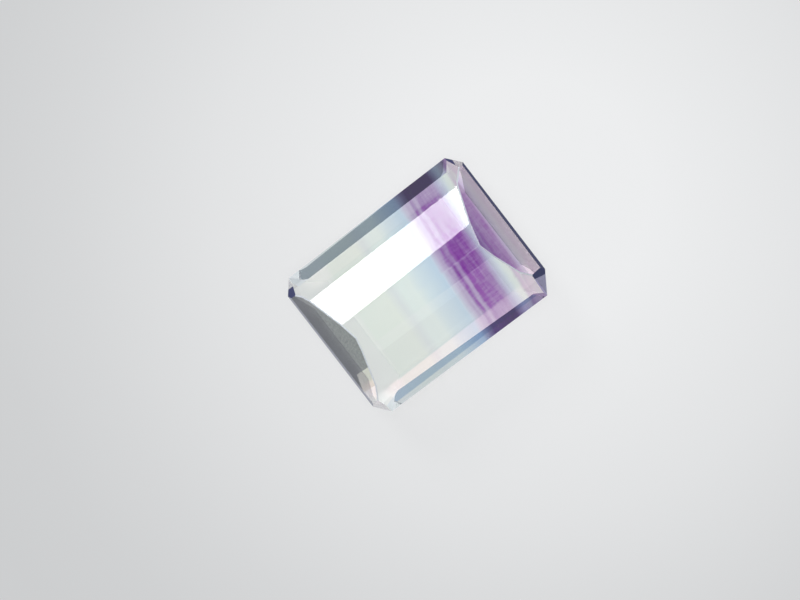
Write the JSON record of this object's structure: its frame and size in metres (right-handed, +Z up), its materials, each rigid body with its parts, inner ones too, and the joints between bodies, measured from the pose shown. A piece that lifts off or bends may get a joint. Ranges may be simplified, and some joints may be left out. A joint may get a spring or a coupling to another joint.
{
  "type": "faceted fluorite gemstone",
  "caption": "Rectangular step-cut fluorite gemstone with cut corners, clear pale green to light blue with a purple colour band, lying on its flat table with the keel up.",
  "frame": {"origin": "centre of the stone's outline, on the flat table facet that it rests on", "axes": "+X along the length, with the purple band towards +X; +Z up, from the table to the keel"},
  "size_m": [0.0106, 0.0082, 0.0043],
  "materials": {
    "fluorite": "polished facets with slightly worn edges"
  },
  "bodies": {
    "root": {"fluorite_gem": "fluorite"}
  },
  "joints": []
}
